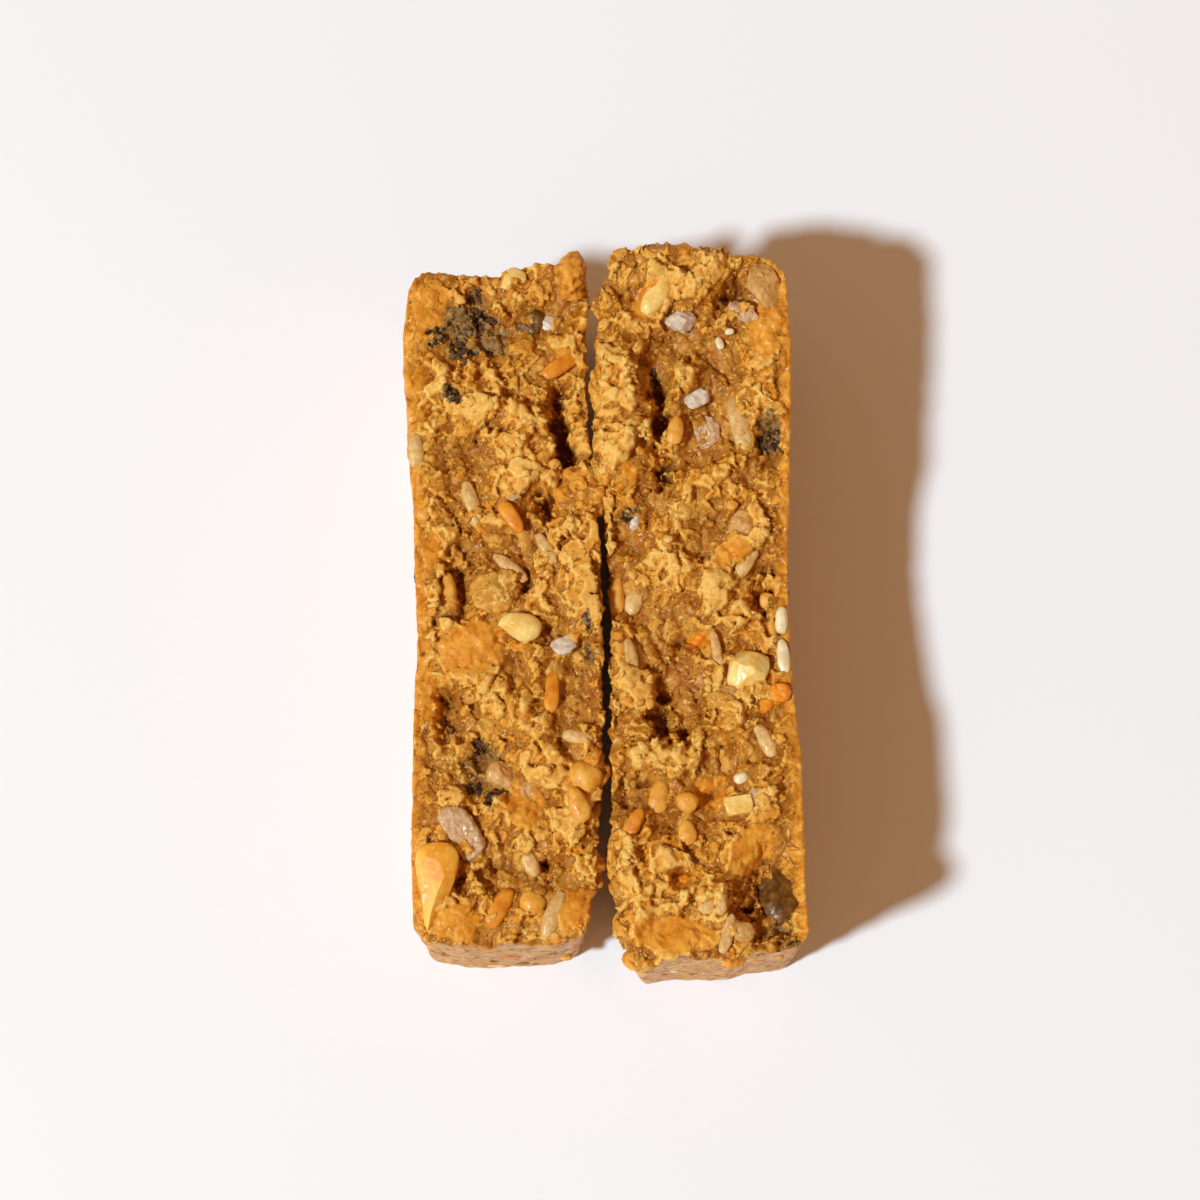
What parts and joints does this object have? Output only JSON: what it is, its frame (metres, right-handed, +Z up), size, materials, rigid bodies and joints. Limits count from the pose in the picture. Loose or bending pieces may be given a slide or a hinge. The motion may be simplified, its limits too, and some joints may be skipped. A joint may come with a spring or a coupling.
{
  "type": "granola bar",
  "caption": "Pressed granola bar pulled open lengthwise: two upright halves side by side, torn crumbly faces up, with bedded nuts, seeds, grains and fruit, joined by a bridge of crumb.",
  "frame": {"origin": "under the middle of the bar's bounding box, on the surface it stands on", "axes": "+Z up out of the torn faces, +Y along the bar, +X across its two halves"},
  "size_m": [0.0404, 0.074, 0.0286],
  "materials": {
    "crumb": "moist, rough golden crumb"
  },
  "bodies": {
    "root": {"granola_bar": "crumb"}
  },
  "joints": []
}
